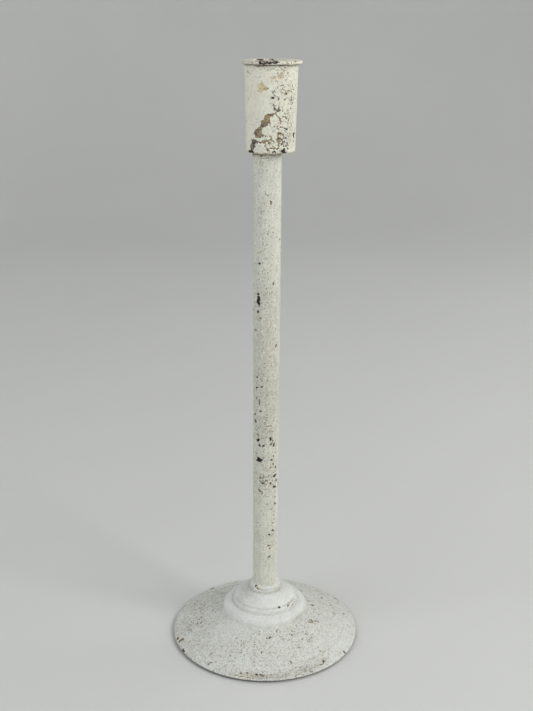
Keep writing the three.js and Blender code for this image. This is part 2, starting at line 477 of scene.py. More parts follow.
def flecks(n, size, rare, common, seed):
    """Small flecks where the paint is missing, and the lifted paint round them, which is raised in the relief
    and lightened as a painted highlight.

    The noise has to pass a limit, which goes from rare to common as the specks grow denser.
    """
    cluster = n.between(n.noise(size * 5.5, 2, seed), 0.32, 0.62, 0.45, 1.15)
    limit = n.between(n.times(n.attribute("specks"), cluster), 0.0, 1.0, rare, common, soft=False)
    over = n.less(n.noise(size, 2.5, seed + 1, rough=0.6, twist=0.5), limit)
    return n.between(over, 0.0, 0.04), n.between(over, -0.06, 0.0)


def curls(n, size, width, seed, tall=1.0):
    """Broken curling cracks along the level lines of a noise, and the lifted paint beside them, raised in the
    relief and lightened as a painted highlight.
    """
    wave = n.noise(size, 1.5, seed, tall=tall, twist=0.7)
    line = n.math("ABSOLUTE", n.less(wave, 0.5))
    broken = n.between(n.noise(size * 0.75, 2, seed + 1), 0.49, 0.56)
    crack = n.times(n.between(line, width, width * 0.4), broken)
    lifted = n.times(n.between(line, width * 3, width * 1.2), broken)
    return crack, lifted


def chipped(n, layer, ragged, inset=0.0, soft=0.1):
    """1 where that layer's chips are, with a ragged edge that an inset moves outwards."""
    edge = n.add(n.less(n.attribute(layer), inset), ragged)
    return n.between(edge, soft, -soft)


def most(n, *values):
    largest = values[0]
    for value in values[1:]:
        largest = n.math("MAXIMUM", largest, value)
    return largest


def paint(name, light, dark, tall=1.0, speck=1.0, roughness=0.46):
    """Thick crackled paint over tan, brown, grey and black coats. Point layers say where it has chipped."""
    n = Nodes(name)
    ragged = n.times(n.less(n.noise(1.5, 4, 6, rough=0.58), 0.5), RAGGED)
    tan, brown, grey, black = [chipped(n, "to_" + coat, ragged) for coat in COATS]
    lost = most(n, tan, brown, grey, black)
    round_dark = most(n, *[chipped(n, "to_" + coat, ragged, 0.25, 0.2) for coat in ("grey", "black")])
    chip_rims = most(n, *[chipped(n, "to_" + coat, ragged, 0.45, 0.25) for coat in COATS])

    crackle = n.attribute("crackle")
    small_share = n.between(crackle, 0, 0.7, 0.12, 1.0)
    small_crack, small_lifted = curls(n, 2.0, 0.05, 7, tall=1 + tall / 30)
    large_share = n.between(crackle, 0.62, 0.9)
    large_crack, large_lifted = curls(n, 3.6, 0.03, 9)
    small_crack, small_lifted = n.times(small_crack, small_share), n.times(small_lifted, small_share)
    large_crack, large_lifted = n.times(large_crack, large_share), n.times(large_lifted, large_share)
    fine, fine_lifted = flecks(n, 1.0 * speck, 0.72, 0.55, 11)
    dark_flecks, dark_lifted = flecks(n, 1.5 * speck, 0.78, 0.6, 13)
    lifted = most(n, small_lifted, large_lifted, fine_lifted, dark_lifted)

    mottled = n.noise(1.5, 3, 15)
    brown_coat = n.mix(n.between(mottled, 0.38, 0.6), BROWN_DEEP, BROWN)
    result = top_coat(n, light, dark, tall)
    # A pale ring round the chips and along lifted paint: partly the paint's lighter broken edge, partly a
    # painted highlight where those edges would catch the light.
    result = n.mix(n.times(most(n, chip_rims, n.times(lifted, 0.6)), 0.5), result, PALE_EDGE_AND_HIGHLIGHT)
    result = n.mix(n.times(small_crack, 0.75), result, DIRT_AND_SHADE)
    result = n.mix(n.times(fine, 0.6), result, SPECK)
    result = n.mix(n.times(large_crack, 0.9), result, CURL)
    result = n.mix(n.times(dark_flecks, 0.85), result, SPECK_DARK)
    result = n.mix(tan, result, n.mix(n.between(mottled, 0.44, 0.6), TAN, TAN_GREY))
    result = n.mix(n.times(round_dark, 0.6), result, brown_coat)
    result = n.mix(brown, result, brown_coat)
    result = n.mix(grey, result, n.mix(n.between(mottled, 0.4, 0.6), GREY_DEEP, GREY))
    result = n.mix(black, result, n.mix(n.between(mottled, 0.52, 0.78), BLACK, BLACK_WORN))
    result = n.mix(n.attribute("bare"), result, bare_wood(n))

    pits = most(n, fine, dark_flecks, small_crack, large_crack)
    skin = n.times(n.noise(1.5, 3, 17, tall=1 + tall / 14), 0.8)
    height = n.less(n.add(skin, n.times(lifted, 0.45)), n.add(n.times(pits, 0.5), n.times(lost, 0.45)))
    shine = n.between(n.noise(2.6, 3, 19), 0.3, 0.7, roughness - 0.07, roughness + 0.09)
    shine = n.add(shine, n.times(n.add(pits, lost), 0.12))
    return n.finish(result, shine, n.bump(height, PAINT_RELIEF, 0.7), Specular_IOR_Level=0.45)


def steel(name):
    """Bright zinc plating with turning marks and a few dull patches."""
    n = Nodes(name)
    rings = n.noise(0.35, 2, 1, tall=0.4)
    dull = n.noise(1.7, 3, 2)
    base = n.mix(n.between(dull, 0.4, 0.65), colour(150, 150, 146), colour(190, 190, 186))
    shine = n.between(n.add(rings, dull), 0.7, 1.3, 0.26, 0.46)
    return n.finish(base, shine, n.bump(rings, 0.04, 0.5), Metallic=1.0)


def felt(name):
    """Pressed green felt: short fibres and worn patches."""
    n = Nodes(name)
    fibre = n.noise(0.45, 4, 5, rough=0.7, twist=1.5)
    worn = n.noise(11.0, 3, 1)
    base = n.mix(n.between(fibre, 0.35, 0.65), colour(34, 46, 34), colour(62, 80, 60))
    base = n.mix(n.times(n.between(worn, 0.5, 0.75), 0.4), base, colour(96, 104, 86))
    return n.finish(base, 0.95, n.bump(fibre, 0.35, 0.8), Sheen_Weight=0.35, Sheen_Roughness=0.5)


foot_paint = paint("foot_paint", colour(231, 234, 232), colour(216, 218, 214), speck=0.95)
stem_paint = paint("stem_paint", colour(229, 230, 219), colour(212, 214, 203), tall=8, speck=0.95)
cup_paint = paint("cup_paint", colour(237, 236, 221), colour(224, 223, 208), tall=2, speck=0.85)
rim_paint = paint("rim_paint", colour(240, 237, 222), colour(222, 218, 201), speck=0.85)
screw_steel = steel("screw_steel")
base_felt = felt("base_felt")


# ---------------------------------------------------------------- foot

COLLAR_RADIUS = 30.9  # the beads stand inside this radius, and the saucer is outside it


def foot_outline():
    """The foot's outline, from its widest edge over the top, down the mortise and back underneath."""
    z = FOOT_LOW[2]
    mortise, mortise_floor = STEM_RADIUS + 0.3, STEM_LOW[2] - 0.3
    bore, bore_ceiling, recess = 8.0, 6.3, FELT_HIGH[2] + 0.3
    recess_radius = FELT_HIGH[0] + 0.3
    saucer = [
        ((66.8, z + 2.2), (63.2, z + 3.5), 0.45),
        ((60.4, z + 4.7), (58.3, z + 5.95), 0.45),
        ((57.5, z + 5.9), (57.1, z + 6.05), 0.35),
        ((56.6, z + 6.3), (56.0, z + 6.85), 0.35),
        ((43.5, z + 11.4), (COLLAR_RADIUS + 1.1, z + 17.7), 0.6),
    ]
    lower_bead = [
        ((30.7, z + 18.4), (30.3, z + 20.0), 0.4),
        ((29.6, z + 23.6), (26.2, z + 24.3), 0.4),
        ((24.7, z + 24.8), (23.8, z + 24.8), 0.4),
        ((23.1, z + 25.0), (22.9, z + 26.3), 0.35),
        ((22.8, z + 27.4), (22.2, z + 27.8), 0.3),
    ]
    upper_bead = [
        ((21.8, z + 28.1), (21.7, z + 28.7), 0.3),
        ((21.4, z + 29.8), (19.0, z + 31.3), 0.4),
        ((16.8, z + 33.3), (13.3, z + 34.5), 0.45),
    ]
    neck = [
        ((12.6, z + 34.8), (12.5, z + 35.4), 0.3),
        ((12.5, z + 36.6), (12.1, z + 36.9), 0.3),
        ((11.3, z + 37.1), (11.2, z + 37.8), 0.3),
    ]
    fillet = [
        ((11.1, z + 39.0), (10.3, z + 39.4), 0.35),
        ((STEM_RADIUS - 0.1, z + 39.9), 0.35),
    ]
    inside = [
        ((mortise, z + 37.0), 1.0),
        ((mortise, mortise_floor), 4.0),
        ((SCREW_HOLE, mortise_floor), 3.0),
        ((SCREW_HOLE, bore_ceiling), 3.0),
        ((bore, bore_ceiling), 2.0),
        ((bore, recess), 2.0),
        ((recess_radius, recess), 5.0),
        ((recess_radius, z + 0.3), 0.5),
        ((recess_radius, z), (recess_radius + 0.4, z), 0.3),
        ((65.7, z), 0.8),
        ((66.8, z + 0.1), (FOOT_RADIUS, z + 1.1), 0.4),
    ]
    moves = saucer + lower_bead + upper_bead + neck + fillet + inside
    return trace((FOOT_RADIUS, z + 1.1), moves)


# A place on the foot is (azimuth, radius). On the beads and the neck the radius goes on shrinking with the
# distance along the surface, so it is 16 at the upper bead's edge, 4 on the neck and -2 at the stem.
FOOT_SPOTS = {
    "tan": [
        (168, 60.5, 1.8, 1.0),
    ],
    "brown": [
        (-70, 63.6, 1.1, 1.3), (66, 37.2, 1.0, 0.5, -30), (-24, 1.2, 1.6, 0.5), (62, 36.5, 0.5, 0.3),
        (-112, 62.0, 1.2, 0.8),
    ],
    "grey": [
        (-32.5, 47.7, 0.7, 0.5), (-2, 63.8, 1.2, 0.6), (-11, 62.5, 1.0, 0.5), (38, 63.8, 1.3, 0.4),
        (24, 61.0, 0.9, 0.4), (-37, 62.6, 0.8, 0.5), (-41, 57.3, 0.8, 0.6, 30), (-15, 63.8, 0.8, 0.4),
        (-103, 49.7, 0.6, 1.1), (44.5, 56.1, 0.5, 0.4), (38.4, 42.9, 0.5, 0.4), (41, 63.4, 0.8, 0.4),
        (20, 65.4, 1.4, 0.4), (29, 65.6, 1.1, 0.4), (-10, 40.5, 0.5, 0.4), (30, 38.0, 0.4, 0.4),
        (38, 39.0, 0.35, 0.4), (18, 34.0, 0.35, 0.3), (-32.4, 47.3, 0.5, 0.5), (-30.1, 40.2, 0.5, 0.4),
        (83.7, 39.5, 0.5, 0.4), (41, 62.6, 1.2, 0.7), (190, 46.0, 1.0, 0.7, 30),
    ],
    "black": [
        (-69.8, 65.0, 0.7, 0.9), (-73.8, 65.6, 1.3, 0.9), (-78.5, 50.3, 0.7, 0.5),
        (-77.8, 47.6, 0.8, 0.5), (-83, 48.3, 0.6, 0.5), (-76, 56.6, 0.5, 0.9), (-84, 43.6, 0.4, 0.4),
        (2.5, 37.0, 0.8, 0.5), (5.6, 37.1, 0.9, 0.5), (15, 32.5, 0.5, 0.4), (27.7, 16.6, 0.9, 0.6),
        (47.6, 17.8, 0.8, 0.5), (-22, 42.8, 0.5, 0.4), (-20, 45.3, 0.5, 0.4), (-37.8, 64.0, 0.9, 0.5),
        (-4.7, 63.4, 0.8, 0.5), (3.7, 63.2, 1.0, 0.4, 25), (17.9, 55.7, 0.8, 0.3), (-4.8, 45.2, 0.4, 0.5),
        (-3.0, 47.3, 0.4, 0.4), (58.9, 66.5, 0.9, 0.8), (-49, -4.2, 0.7, 0.9), (-40, -0.5, 0.8, 0.7),
        (-30, 0.6, 0.5, 0.5), (-60, 66.6, 1.2, 0.5), (64, 38.3, 0.5, 0.3), (-56, 57.0, 0.4, 0.3),
        (-7.4, 54.4, 0.4, 0.3), (12, 36.0, 0.4, 0.3), (-150, 33.0, 0.4, 0.9), (-160, 40.0, 0.4, 0.9),
        (42, 46.0, 0.4, 0.3), (-75.8, 55.9, 0.4, 1.6), (34, 35.5, 0.4, 0.3), (25, 40.5, 0.4, 0.25, 30),
        (46, 41.0, 0.3, 0.3), (-140, 64.8, 1.8, 0.9), (124, 65.4, 1.5, 0.8),
    ],
}
FOOT_STROKES = {
    "brown": [
        (0.3, (60, 35.4), (66, 37.5), (73, 41.0)), (0.3, (-9, 65.9), (-18, 65.8)),
        (0.2, (58, 19.5), (68, 18.6), (80, 19.2)),
    ],
}


def make_foot():
    surface = turned(foot_outline(), FOOT_SIDES)
    collar_start = surface.along[np.argmax(surface.radius[:, 0] <= COLLAR_RADIUS), 0]
    inward = surface.along - collar_start
    place = np.where(inward < 0, surface.radius, COLLAR_RADIUS - inward)
    above = (place > -7) & (surface.normal_z > -0.5)
    place = np.where(above, place, NOWHERE)

    wander(surface, 25)
    back = {
        "black": scattered(11, 46, (85, 265), (31, 66.5), 0.25, 1.0),
        "grey": scattered(12, 16, (85, 265), (31, 66.5), 0.3, 1.1),
        "brown": scattered(13, 6, (95, 265), (50, 66.5), 0.3, 0.9),
    }
    layers = chip_layers(surface, place, together(FOOT_SPOTS, back), FOOT_STROKES)
    # The black band round the foot's bottom edge is partly worn paint and partly painted contact shadow under
    # the foot.
    black_edge_and_contact_shade = np.where(surface.radius > 64, surface.height - FOOT_LOW[2] - 0.75, FAR)
    layers["to_black"] = np.minimum(layers["to_black"], black_edge_and_contact_shade)
    uneven(surface, seed=21, grain=0.06)
    press_chips(surface, layers)

    on_saucer = smooth(COLLAR_RADIUS - 1, COLLAR_RADIUS + 1.5, place)
    layers["specks"] = on_saucer * clouds(surface, place, 0.74, [
        (-42, 36, 16, 9, -0.5), (70, 60, 18, 12, -0.35), (-80, 48, 14, 12, 0.3), (35, 38, 16, 8, 0.12),
        (65, 38, 10, 7, 0.2), (-125, 40, 30, 20, 0.35), (-25, 58, 20, 5, -0.2), (8, 64.5, 16, 3, 0.35),
        (-12, 42, 12, 8, 0.2),
    ]) + (1 - on_saucer) * 0.12
    layers["crackle"] = on_saucer * clouds(surface, place, 0.68, [
        (-42, 36, 16, 9, -0.45), (70, 60, 18, 12, -0.2),
    ])
    # Darkening in the grooves of the beads: partly dirt, partly painted shade.
    groove_dirt_and_shade = 0.8 * round_line(place, 20.4, 1.2) + 0.6 * round_line(place, 16.4, 0.9)
    groove_dirt_and_shade += 0.5 * round_line(place, 30.5, 1.2)
    # Painted shade on the neck's upright sides and where it meets the stem.
    neck = 1.3 * round_line(place, 3.9, 1.3) + 0.8 * round_line(place, 1.7, 0.7)
    # Painted shade on the beads: darker patches on their left and right, in the cove below them, along the
    # upper bead's lower edge and at the back.
    darker_patches = clouds(surface, place, 0.0, [
        (-64, 7, 9, 7, 0.36), (62, 3, 8, 5, 0.28), (180, 9, 20, 4, 0.3), (58, 29.5, 13, 2.2, 0.45),
        (55, 16.4, 8, 0.8, 0.5),
    ])
    # Darker patches near the front and right of the outer edge.
    front_edge_darkening = clouds(surface, place, 0.0, [
        (-8, 64.6, 11, 2.0, 0.55), (8, 64.8, 10, 1.6, 0.5), (27, 63.5, 9, 2.2, 0.6), (41, 62.8, 3, 2.0, 0.6),
    ])
    layers["dirt_and_shade"] = np.clip(0.4 * groove_dirt_and_shade + 0.3 * neck + darker_patches + 0.1 * on_saucer + front_edge_darkening, 0, 1)
    layers["bare"] = np.where(above | (surface.radius > 62), 0.0, 1.0)
    surface.radius = np.minimum(surface.radius, FOOT_RADIUS - 0.01)
    return piece("turned_foot", surface, foot_paint, layers=layers)


# ---------------------------------------------------------------- stem

STEM_SPOTS = {
    "tan": [
        (33, 73, 0.9, 0.8), (24, 71.4, 1.0, 0.6), (170, 308.0, 1.1, 1.8),
    ],
    "brown": [
        (-25, 115.4, 1.2, 0.8), (13, 318.3, 0.6, 1.2), (14, 73.0, 0.8, 1.2), (23, 73.4, 1.1, 0.6),
        (19, 71.3, 0.8, 0.5), (-27, 123, 1.3, 0.8, -20), (-24, 126, 1.0, 0.6), (-14, 124.5, 0.5, 0.9),
        (-30, 183.5, 0.6, 1.3), (0, 130, 0.5, 0.6), (128, 118.0, 1.1, 1.4),
    ],
    "grey": [
        (-31, 116.4, 0.5, 0.5), (-17, 114.4, 0.6, 0.4), (-33, 181, 0.4, 1.6), (-36, 278.4, 0.8, 0.6),
        (-20, 278.8, 0.5, 0.4), (19, 64.4, 0.6, 0.5), (-60, 232.2, 1.8, 0.5, 15), (45, 222, 0.5, 0.9),
        (33, 124.0, 0.6, 0.4), (48, 145.0, 0.8, 0.4, 20), (-12, 141.0, 0.5, 0.4),
        (46, 96.4, 0.8, 0.4, -25), (42, 99.6, 0.6, 0.4), (38, 90.6, 0.5, 0.4), (5, 106.0, 0.5, 0.4),
        (25, 102.0, 0.5, 0.4),
    ],
    "black": [
        (43, 118.5, 1.4, 0.9, -20), (52, 110.5, 0.8, 0.6), (45, 105.4, 0.7, 0.4), (20, 82, 1.1, 0.7),
        (37, 84.5, 1.1, 0.6, -20), (-47, 192.5, 0.7, 0.5), (-22, 193.4, 0.7, 0.7, 30),
        (-52, 184.6, 0.9, 0.5), (-58, 171.8, 1.6, 0.6, 25), (-57, 167.2, 1.3, 0.6), (-20, 161, 0.6, 0.45),
        (-38, 154.0, 1.2, 1.0), (-38, 157.4, 0.5, 0.5), (-29, 150.2, 1.1, 0.9), (-11, 150.4, 0.8, 0.9),
        (0, 151.2, 0.5, 0.5), (20, 155.2, 0.8, 1.1), (29, 153.8, 0.9, 0.7, -30),
        (25, 151.4, 0.8, 0.6, 30), (37, 150.0, 0.5, 1.2), (-20, 122.2, 1.3, 0.6, -20),
        (57, 122.5, 1.1, 0.7), (-40, 245.2, 0.9, 0.8), (-38, 258.0, 1.3, 0.5), (25, 265.0, 0.6, 0.7),
        (66, 293.4, 1.4, 0.45, 10), (-48, 199.5, 1.2, 0.5), (27, 143.5, 0.5, 0.4, -30),
        (36, 142.0, 0.5, 0.4), (-24, 241.6, 0.6, 0.5), (35, 168, 0.4, 0.4), (-27, 175.6, 0.9, 0.4, 10),
        (-20, 179, 0.5, 0.4), (-45, 143, 0.9, 0.5), (10, 165.2, 0.9, 0.4, 15), (-3, 167.6, 0.5, 0.4),
        (30, 139.4, 0.8, 0.35, 30), (38, 136.0, 0.7, 0.4, -30), (24, 134.2, 0.6, 0.5),
        (50, 133.0, 0.9, 0.5, -25), (14, 127.4, 0.7, 0.6), (44, 126.6, 1.1, 0.45, 20),
        (4, 124.0, 0.6, 0.5), (20, 121.4, 0.8, 0.5), (146, 262.0, 1.0, 2.4), (-132, 182.0, 1.2, 1.0, 30),
        (-165, 92.0, 1.0, 0.7), (104, 214.0, 0.8, 1.5),
    ],
}
STEM_STROKES = {
    "brown": [
        # The ragged brown band round the top of the stem, on its front half, is partly chipped paint and
        # partly painted shade under the cup.
        (0.45, (-95, 348.6), (-50, 348.3), (-20, 348.7), (10, 348.5), (50, 348.8), (95, 348.6)),
        (0.5, (-80, 348.6), (-79, 346.8)), (0.45, (-60, 348.6), (-58, 346.6)),
        (0.35, (-40, 348.5), (-41, 347.2)), (0.4, (-22, 348.6), (-24, 346.6)),
        (0.22, (-4, 121.4), (6, 120.6)), (0.22, (6, 166.0), (13, 165.0), (22, 166.2), (30, 165.8)),
        (0.2, (14, 125.0), (22, 124.6), (27, 127.6)),
    ],
    "black": [
        (1.3, (-38, 255.6), (-38, 250.8)), (1.55, (-36, 139.3), (-26, 139.7)),
    ],
}
# Each drip under the cup is (azimuth, height of its end, half width).
STEM_DRIPS = (
    (-78, 346.4, 1.3), (-58, 346.0, 1.1), (-41, 347.0, 0.8), (-24, 346.2, 0.9), (6, 347.6, 0.7),
    (52, 347.4, 0.8),
)


def stem_outline():
    low, high = STEM_LOW[2], STEM_HIGH[2]
    low_hole_end, high_hole_end = 39.9, 325.9
    return trace((0, low_hole_end), [
        ((SCREW_HOLE, low_hole_end - SCREW_HOLE), 2.5),
        ((SCREW_HOLE, low), 6.0),
        ((STEM_RADIUS - 0.8, low), 2.0),
        ((STEM_RADIUS, low), (STEM_RADIUS, low + 0.8), 0.6),
        ((STEM_RADIUS, FOOT_HIGH[2] - 2), 4.0),
        ((STEM_RADIUS, high), 0.48),
        ((SCREW_HOLE, high), 2.0),
        ((SCREW_HOLE, high_hole_end + SCREW_HOLE), 6.0),
        ((0, high_hole_end), 2.5),
    ])


def drips(surface, thickness):
    """How far the beads of paint stand out that ran a little way down from the cup and dried."""
    top = surface.height.max()
    raised = np.zeros(surface.radius.shape)
    for azimuth, end, half_width in STEM_DRIPS:
        gap = to_stroke(surface, surface.height, half_width, (azimuth, top + 1), (azimuth, end + half_width))
        raised = np.maximum(raised, np.sqrt(np.clip(-gap / half_width, 0, 1)))
    return raised * thickness


def make_stem():
    surface = turned(stem_outline(), STEM_SIDES)
    outside = surface.radius > STEM_RADIUS - 0.01
    place = np.where(outside, surface.height, NOWHERE)
    wander(surface, 45)
    back = {
        "black": scattered(31, 90, (75, 285), (45, 345), 0.22, 0.9),
        "brown": scattered(32, 26, (75, 285), (45, 345), 0.25, 1.1),
    }
    layers = chip_layers(surface, place, together(STEM_SPOTS, back), STEM_STROKES)
    uneven(surface, seed=41, grain=0.03, tall=2.5)
    press_chips(surface, layers)
    push(surface, np.where(outside, drips(surface, 1.4), 0))
    layers["specks"] = clouds(surface, place, 0.48, [
        (2, 236, 5.5, 42, 0.3), (-35, 262, 6, 26, 0.25), (-8, 165, 11, 26, 0.42), (8, 126, 11, 12, 0.5),
        (-30, 302, 6, 18, 0.2),
        (8, 330, 5, 22, 0.2), (30, 92, 6, 24, 0.3), (-40, 247, 4, 8, 0.4), (180, 200, 12, 90, 0.35),
        (-60, 90, 8, 40, -0.2),
    ])
    layers["crackle"] = clouds(surface, place, 0.42, [
        (-8, 165, 11, 26, 0.35), (8, 125, 11, 12, 0.4), (-28, 300, 7, 42, 0.2), (2, 236, 5.5, 42, 0.25),
        (180, 180, 12, 80, 0.3),
    ])
    # Painted shade on the stem just under the cup.
    shade_under_cup = 0.5 * round_line(surface.height, STEM_HIGH[2] - 1, 1.6)
    # Darker in a broad band round the middle of the stem and low on its left.
    darker_patches = clouds(surface, place, 0.04, [(0, 205, 60, 60, 0.28), (-60, 90, 9, 45, 0.2)])
    layers["dirt_and_shade"] = shade_under_cup + darker_patches
    painted = outside & (surface.height > FOOT_HIGH[2] - 6)
    layers["bare"] = np.where(painted, 0.0, 1.0)
    return piece("round_stem", surface, stem_paint, layers=layers)


# ---------------------------------------------------------------- candle cup

CUP_SPOTS = {
    "tan": [
        (-23.5, 390.0, 2.6, 2.9), (-15.5, 390.4, 1.5, 1.2), (-8.5, 389.6, 1.6, 0.6), (2, 396.3, 1.4, 0.7),
        (19, 396.8, 2.3, 1.5, 30), (25, 398.2, 1.3, 1.2), (12, 401.8, 0.9, 0.4), (30, 401.4, 0.7, 0.4),
        (34, 387.2, 0.9, 1.1), (152, 380.5, 2.2, 1.7, 20), (160, 378.0, 1.4, 0.8),
        (-118, 394.0, 1.9, 1.3), (205, 399.0, 1.5, 0.8),
    ],
    "brown": [
        (33, 386.3, 0.8, 1.2, -20), (29, 383.0, 0.7, 0.6), (50, 384.6, 0.4, 1.2, 20), (57, 388, 0.6, 0.4),
        (50, 382.5, 0.5, 0.4), (-12, 389.8, 1.3, 0.35), (-8, 371.5, 2.2, 2.9, -25),
        (-3, 369.8, 1.0, 2.0, 12), (-16.5, 368.4, 2.5, 2.6), (-30.5, 362.4, 2.7, 3.2),
        (-25, 360.6, 0.8, 1.6, 20), (-19.5, 361.5, 0.5, 0.8), (20.5, 370.4, 0.9, 1.3, 15),
        (42, 388.3, 1.1, 0.45, -15), (-1.5, 360.5, 1.2, 0.6), (3.5, 359.4, 0.9, 0.5, -30),
        (8, 374.6, 1.2, 0.7), (29, 374.7, 0.8, 0.45), (39, 374.2, 0.7, 0.45), (28, 372.3, 0.8, 0.35),
        (-12, 361.0, 0.7, 0.45), (24, 393.0, 0.5, 0.4), (22, 391.3, 0.6, 0.4), (35, 371.2, 0.5, 0.9, 25),
        (-152, 365.5, 2.3, 2.6, -30), (-143, 369.0, 1.2, 1.6), (100, 372.0, 0.9, 1.9),
    ],
    "grey": [
        (-16.5, 368.0, 1.6, 1.5, 30), (-36, 362.7, 1.0, 1.6), (-10.5, 371.6, 0.5, 0.9),
        (7, 377.4, 0.9, 0.8), (17, 376.4, 1.2, 0.5, 10), (17, 383.3, 0.4, 0.3), (6, 379.4, 0.4, 0.4),
        (17, 377.6, 0.4, 0.3), (-58, 399.3, 0.9, 0.35), (-41, 357.5, 2.2, 1.1, -15),
        (-155, 364.4, 1.2, 1.1),
    ],
    "black": [
        (2.5, 386.9, 0.5, 0.6), (4.5, 383.8, 0.8, 0.5), (14, 384.8, 0.4, 0.5), (7, 388.2, 0.3, 0.5),
        (41.6, 370.4, 0.5, 1.0, 25), (35.5, 365.2, 1.2, 0.55), (20, 359.4, 0.6, 0.5),
        (25.5, 358.9, 0.6, 0.35), (27.5, 358.0, 0.5, 0.35), (24.5, 355.6, 0.4, 0.5),
        (31.5, 357.0, 0.9, 0.4), (38.5, 356.8, 0.8, 0.35), (37.5, 354.8, 1.2, 0.5), (43, 352.9, 0.5, 0.8),
        (29.5, 351.3, 1.5, 0.9), (7.5, 351.1, 1.0, 0.5), (17, 351.0, 0.6, 0.45), (34, 352.4, 0.5, 0.5),
        (65.5, 360.8, 1.2, 1.8), (66, 357.1, 0.9, 0.35), (54.5, 380.3, 0.6, 0.4), (23, 362.9, 0.4, 0.35),
        (21, 353.2, 0.5, 0.5), (38, 350.6, 0.8, 0.4), (-54, 350.8, 2.6, 0.9), (44, 355.2, 0.4, 0.5),
        (33, 359.6, 0.5, 0.4), (39, 359.0, 0.4, 0.5), (45, 362.0, 0.4, 0.3), (118, 352.4, 2.0, 1.1),
    ],
}
CUP_STROKES = {
    "tan": [
        (0.5, (-1, 396.9), (5, 396.1), (14, 396.0)),
    ],
    "brown": [
        (0.3, (22, 391.0), (26, 391.9), (29, 391.6), (32, 390.2)),
        (1.15, (-12, 370.4), (-18, 367.8), (-26, 365.2), (-30, 363.4)),
        (0.85, (-4, 373.2), (0, 374.1), (8, 374.8)),
        (0.6, (8, 374.8), (12, 374.3), (14, 373.0), (17, 371.4), (20, 370.4)),
        (0.4, (12, 374.4), (14, 376.4)),
        (0.42, (9, 366.9), (15, 366.6), (23, 366.0), (30, 365.4), (37, 365.2)),
        (0.55, (17, 363.6), (16, 360.8), (17, 357.5), (19, 354.0)),
        (0.35, (17, 363.5), (23, 362.9), (29, 360.6)),
        (0.3, (20, 359.5), (25, 359.0), (28, 357.4), (25, 355.8), (21, 356.4), (20, 358.4)),
        (0.42, (-37, 357.0), (-31, 357.2), (-25, 357.0), (-19, 357.2), (-14, 356.4)),
        (0.5, (-14, 356.4), (-12, 354.6), (-9.5, 353.2), (-4, 352.8)),
        (0.35, (-9.5, 353.2), (-5, 351.4), (-1, 350.8)),
        (0.42, (-19, 357.4), (-11, 357.8), (-5, 358.3), (1, 358.3), (6, 357.8), (9, 356.9)),
        (0.35, (-6, 356.9), (-1, 356.2), (5, 355.2), (9, 353.9)),
        (0.5, (-4, 353.0), (2, 353.6), (9, 353.2), (15, 352.8), (20, 353.4)),
        # The thin brown lines along the cup's bottom edge and just under the rim, on the front, are partly
        # chipped paint and partly painted shadow.
        (0.3, (-20, 350.2), (0, 349.9), (24, 350.1)), (0.25, (30, 350.0), (48, 350.2)),
        (0.2, (-70, 403.0), (-52, 403.1)), (0.25, (-40, 403.1), (-8, 402.9)),
        (0.2, (4, 403.1), (30, 403.0)), (0.25, (48, 403.0), (70, 403.1)),
        (0.45, (-143, 370.0), (-134, 372.4), (-126, 372.0), (-121, 369.6)),
        (0.35, (-152, 362.8), (-160, 360.0), (-158, 356.0), (-150, 354.4)),
        (0.35, (100, 370.4), (106, 366.8), (112, 366.0)),
    ],
    "grey": [
        (1.5, (-42, 357.4), (-46, 355.0), (-48.5, 352.6), (-52, 350.8)),
        (0.2, (3, 386.4), (8, 385.2), (13, 384.6)),
    ],
}


def cup_outline():
    low, high, top = CUP_LOW[2], CUP_HIGH[2], CUP_TOP_RADIUS
    bottom, bore, floor = 15.6, (LINER_HIGH[0] - LINER_LOW[0]) / 2 - 7.1, LINER_LOW[2] - 0.3
    return trace((0, low), [
        ((bottom - 2, low), 2.2),
        ((bottom - 1, low), 0.4),
        ((bottom, low), (bottom, low + 1.1), 0.3),
        ((top, high), 0.34),
        ((bore, high), 0.7),
        ((bore, floor), 3.0),
        ((0, floor), 2.5),
    ])


def make_cup():
    surface = turned(cup_outline(), CUP_SIDES)
    outside = surface.radius > 14.0
    place = np.where(outside, surface.height, NOWHERE)
    wander(surface, 65)
    back = {
        "black": scattered(51, 26, (80, 280), (350, 402), 0.25, 1.0),
        "brown": scattered(52, 20, (80, 280), (350, 402), 0.3, 1.4),
        "tan": scattered(53, 12, (80, 280), (355, 402), 0.4, 1.9),
    }
    layers = chip_layers(surface, place, together(CUP_SPOTS, back), CUP_STROKES)
    uneven(surface, seed=61, grain=0.08)
    press_chips(surface, layers)
    layers["specks"] = clouds(surface, place, 0.26, [
        (30, 384, 9, 14, 0.4), (28, 360, 9, 9, 0.6), (48, 375, 9, 14, 0.35), (-20, 380, 12, 13, -0.3),
        (-60, 380, 8, 22, -0.15), (0, 403, 40, 1.2, 0.4), (180, 403, 40, 1.2, 0.4), (180, 375, 22, 22, 0.25),
    ])
    layers["crackle"] = clouds(surface, place, 0.3, [
        (18, 358, 10, 9, 0.6), (30, 376, 12, 16, 0.5), (40, 392, 12, 12, 0.45), (180, 372, 24, 16, 0.5),
        (-22, 382, 9, 10, -0.25), (-20, 400, 10, 4, 0.3), (10, 400, 10, 4, 0.3),
    ])
    # Darker at both ends of the cup: painted shadow under the rim at the top, dirt and painted shade at the
    # bottom edge.
    shade_and_dirt_at_ends = round_line(surface.height, CUP_LOW[2], 0.9) + round_line(surface.height, CUP_HIGH[2], 0.8)
    layers["dirt_and_shade"] = np.clip(0.9 * shade_and_dirt_at_ends, 0, 1)
    painted = outside | (surface.height < CUP_LOW[2] + 0.5)
    layers["bare"] = np.where(painted, 0.0, 1.0)
    return piece("tapered_cup", surface, cup_paint, centre_x=CUP_X, layers=layers)


# ---------------------------------------------------------------- rim and liner

